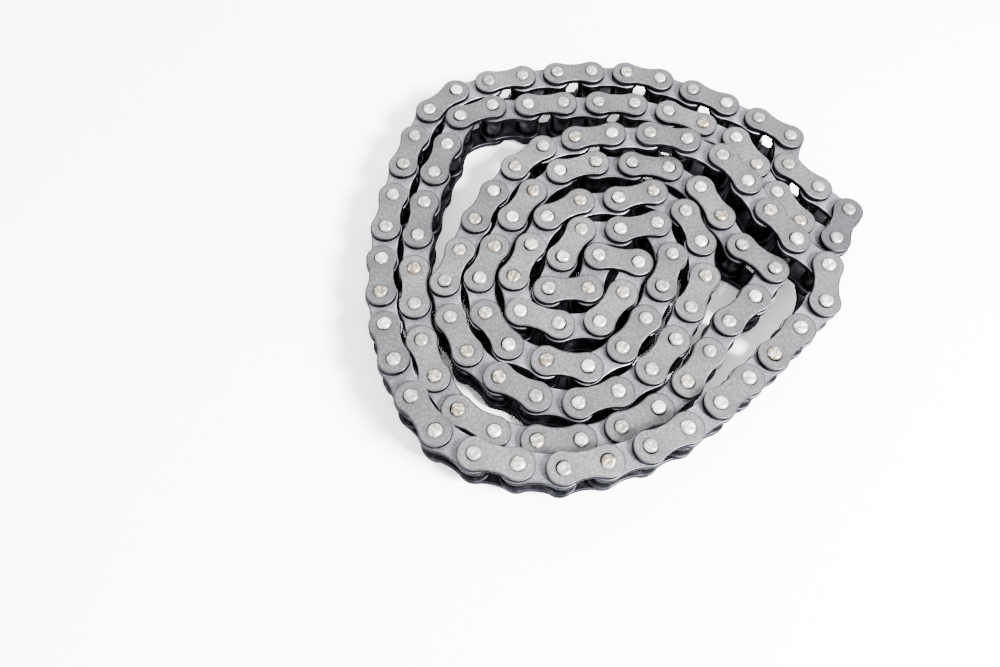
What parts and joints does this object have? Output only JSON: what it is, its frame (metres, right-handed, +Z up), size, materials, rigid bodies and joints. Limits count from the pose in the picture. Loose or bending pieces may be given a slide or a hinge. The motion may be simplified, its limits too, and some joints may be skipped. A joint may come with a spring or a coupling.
{
  "type": "roller chain",
  "caption": "Roller drive chain of waisted plates, pins, bushes and rollers, lying on its side in folds with one pivot of its loop left open.",
  "frame": {"origin": "middle of the plan outline, on the surface that the lower pin ends rest on", "axes": "+Z up, along the pins; +Y away from the viewer of the picture; +X to its right"},
  "size_m": [0.1648, 0.1599, 0.0233],
  "materials": {
    "outer_plate": "satin, dull grey",
    "inner_plate": "satin, silver grey",
    "pin": "worn bright",
    "bush": "oily",
    "roller": "dark oily",
    "outer_link": "satin, dull grey",
    "inner_link": "satin, silver grey",
    "coil": "satin, dull grey"
  },
  "bodies": {
    "coil": {"coil_run_01": "coil", "coil_run_02": "coil", "coil_run_03": "coil", "coil_run_04": "coil", "coil_run_05": "coil", "coil_run_06": "coil", "coil_run_07": "coil", "coil_run_08": "coil", "coil_run_09": "coil", "coil_run_10": "coil", "coil_run_11": "coil", "coil_run_12": "coil", "coil_run_13": "coil", "coil_run_14": "coil", "coil_run_15": "coil", "coil_run_16": "coil", "coil_run_17": "coil", "coil_run_18": "coil", "open_pivot_shank": "pin"},
    "link_18": {"inner_link_18": "inner_link"},
    "link_17": {"outer_link_17": "outer_link"},
    "link_16": {"inner_link_16": "inner_link"},
    "link_15": {"outer_link_15": "outer_link"},
    "link_14": {"inner_link_14": "inner_link"},
    "link_13": {"outer_link_13": "outer_link"},
    "link_12": {"inner_link_12": "inner_link"},
    "link_11": {"outer_link_11": "outer_link"},
    "link_10": {"inner_link_10": "inner_link"},
    "link_09": {"outer_link_09": "outer_link"},
    "link_08": {"inner_link_08": "inner_link"},
    "link_07": {"outer_link_07": "outer_link"},
    "link_06": {"inner_link_06_top_plate": "inner_plate", "inner_link_06_bottom_plate": "inner_plate", "inner_link_06_bush_a": "bush", "inner_link_06_bush_b": "bush"},
    "roller_06a": {"inner_link_06_roller_a": "roller"},
    "roller_06b": {"inner_link_06_roller_b": "roller"},
    "link_05": {"outer_link_05_top_plate": "outer_plate", "outer_link_05_bottom_plate": "outer_plate", "outer_link_05_pin_a": "pin", "outer_link_05_pin_b": "pin"},
    "link_04": {"inner_link_04_top_plate": "inner_plate", "inner_link_04_bottom_plate": "inner_plate", "inner_link_04_bush_a": "bush", "inner_link_04_bush_b": "bush"},
    "roller_04a": {"inner_link_04_roller_a": "roller"},
    "roller_04b": {"inner_link_04_roller_b": "roller"},
    "link_03": {"outer_link_03_top_plate": "outer_plate", "outer_link_03_bottom_plate": "outer_plate", "outer_link_03_pin_a": "pin", "outer_link_03_pin_b": "pin"},
    "link_02": {"inner_link_02_top_plate": "inner_plate", "inner_link_02_bottom_plate": "inner_plate", "inner_link_02_bush_a": "bush", "inner_link_02_bush_b": "bush"},
    "roller_02a": {"inner_link_02_roller_a": "roller"},
    "roller_02b": {"inner_link_02_roller_b": "roller"},
    "link_01": {"outer_link_01_top_plate": "outer_plate", "outer_link_01_bottom_plate": "outer_plate", "outer_link_01_pin_a": "pin"}
  },
  "joints": [
    {"name": "pivot_18", "type": "hinge", "parent": "coil", "child": "link_18", "pos_m": [-0.07563, 0.01845, 0.0092], "axis": [0, 0, 1], "range_deg": [0, 60]},
    {"name": "pivot_17", "type": "hinge", "parent": "link_18", "child": "link_17", "pos_m": [-0.07331, 0.03093, 0.0092], "axis": [0, 0, 1], "range_deg": [0, 20]},
    {"name": "pivot_16", "type": "hinge", "parent": "link_17", "child": "link_16", "pos_m": [-0.07009, 0.04322, 0.0092], "axis": [0, 0, 1], "range_deg": [0, 20]},
    {"name": "pivot_15", "type": "hinge", "parent": "link_16", "child": "link_15", "pos_m": [-0.0656, 0.0551, 0.0092], "axis": [0, 0, 1], "range_deg": [0, 20]},
    {"name": "pivot_14", "type": "hinge", "parent": "link_15", "child": "link_14", "pos_m": [-0.05678, 0.06424, 0.0092], "axis": [0, 0, 1], "range_deg": [0, 20]},
    {"name": "pivot_13", "type": "hinge", "parent": "link_14", "child": "link_13", "pos_m": [-0.04505, 0.0691, 0.0092], "axis": [0, 0, 1], "range_deg": [0, 20]},
    {"name": "pivot_12", "type": "hinge", "parent": "link_13", "child": "link_12", "pos_m": [-0.03269, 0.07201, 0.0092], "axis": [0, 0, 1], "range_deg": [0, 20]},
    {"name": "pivot_11", "type": "hinge", "parent": "link_12", "child": "link_11", "pos_m": [-0.02013, 0.07389, 0.0092], "axis": [0, 0, 1], "range_deg": [0, 20]},
    {"name": "pivot_10", "type": "hinge", "parent": "link_11", "child": "link_10", "pos_m": [-0.00747, 0.07489, 0.0092], "axis": [0, 0, 1], "range_deg": [0, 20]},
    {"name": "pivot_09", "type": "hinge", "parent": "link_10", "child": "link_09", "pos_m": [0.00523, 0.07487, 0.0092], "axis": [0, 0, 1], "range_deg": [0, 20]},
    {"name": "pivot_08", "type": "hinge", "parent": "link_09", "child": "link_08", "pos_m": [0.01766, 0.07225, 0.0092], "axis": [0, 0, 1], "range_deg": [0, 20]},
    {"name": "pivot_07", "type": "hinge", "parent": "link_08", "child": "link_07", "pos_m": [0.02931, 0.0672, 0.0092], "axis": [0, 0, 1], "range_deg": [0, 20]},
    {"name": "pivot_06", "type": "hinge", "parent": "link_07", "child": "link_06", "pos_m": [0.04065, 0.06149, 0.0092], "axis": [0, 0, 1], "range_deg": [0, 20]},
    {"name": "roller_06a_spin", "type": "hinge", "parent": "link_06", "child": "roller_06a", "pos_m": [0.04065, 0.06149, 0.0092], "axis": [0, 0, 1], "continuous": true},
    {"name": "roller_06b_spin", "type": "hinge", "parent": "link_06", "child": "roller_06b", "pos_m": [0.05165, 0.05514, 0.0092], "axis": [0, 0, 1], "continuous": true},
    {"name": "pivot_05", "type": "hinge", "parent": "link_06", "child": "link_05", "pos_m": [0.05165, 0.05514, 0.0092], "axis": [0, 0, 1], "range_deg": [0, 20]},
    {"name": "pivot_04", "type": "hinge", "parent": "link_05", "child": "link_04", "pos_m": [0.06189, 0.04762, 0.0092], "axis": [0, 0, 1], "range_deg": [0, 20]},
    {"name": "roller_04a_spin", "type": "hinge", "parent": "link_04", "child": "roller_04a", "pos_m": [0.06189, 0.04762, 0.0092], "axis": [0, 0, 1], "continuous": true},
    {"name": "roller_04b_spin", "type": "hinge", "parent": "link_04", "child": "roller_04b", "pos_m": [0.05946, 0.03515, 0.0092], "axis": [0, 0, 1], "continuous": true},
    {"name": "pivot_03", "type": "hinge", "parent": "link_04", "child": "link_03", "pos_m": [0.05946, 0.03515, 0.0092], "axis": [0, 0, 1], "range_deg": [0, 20]},
    {"name": "pivot_02", "type": "hinge", "parent": "link_03", "child": "link_02", "pos_m": [0.06832, 0.02605, 0.0092], "axis": [0, 0, 1], "range_deg": [0, 20]},
    {"name": "roller_02a_spin", "type": "hinge", "parent": "link_02", "child": "roller_02a", "pos_m": [0.06832, 0.02605, 0.0092], "axis": [0, 0, 1], "continuous": true},
    {"name": "roller_02b_spin", "type": "hinge", "parent": "link_02", "child": "roller_02b", "pos_m": [0.07726, 0.01703, 0.0092], "axis": [0, 0, 1], "continuous": true},
    {"name": "pivot_01", "type": "hinge", "parent": "link_02", "child": "link_01", "pos_m": [0.07726, 0.01703, 0.0092], "axis": [0, 0, 1], "range_deg": [0, 20]}
  ]
}
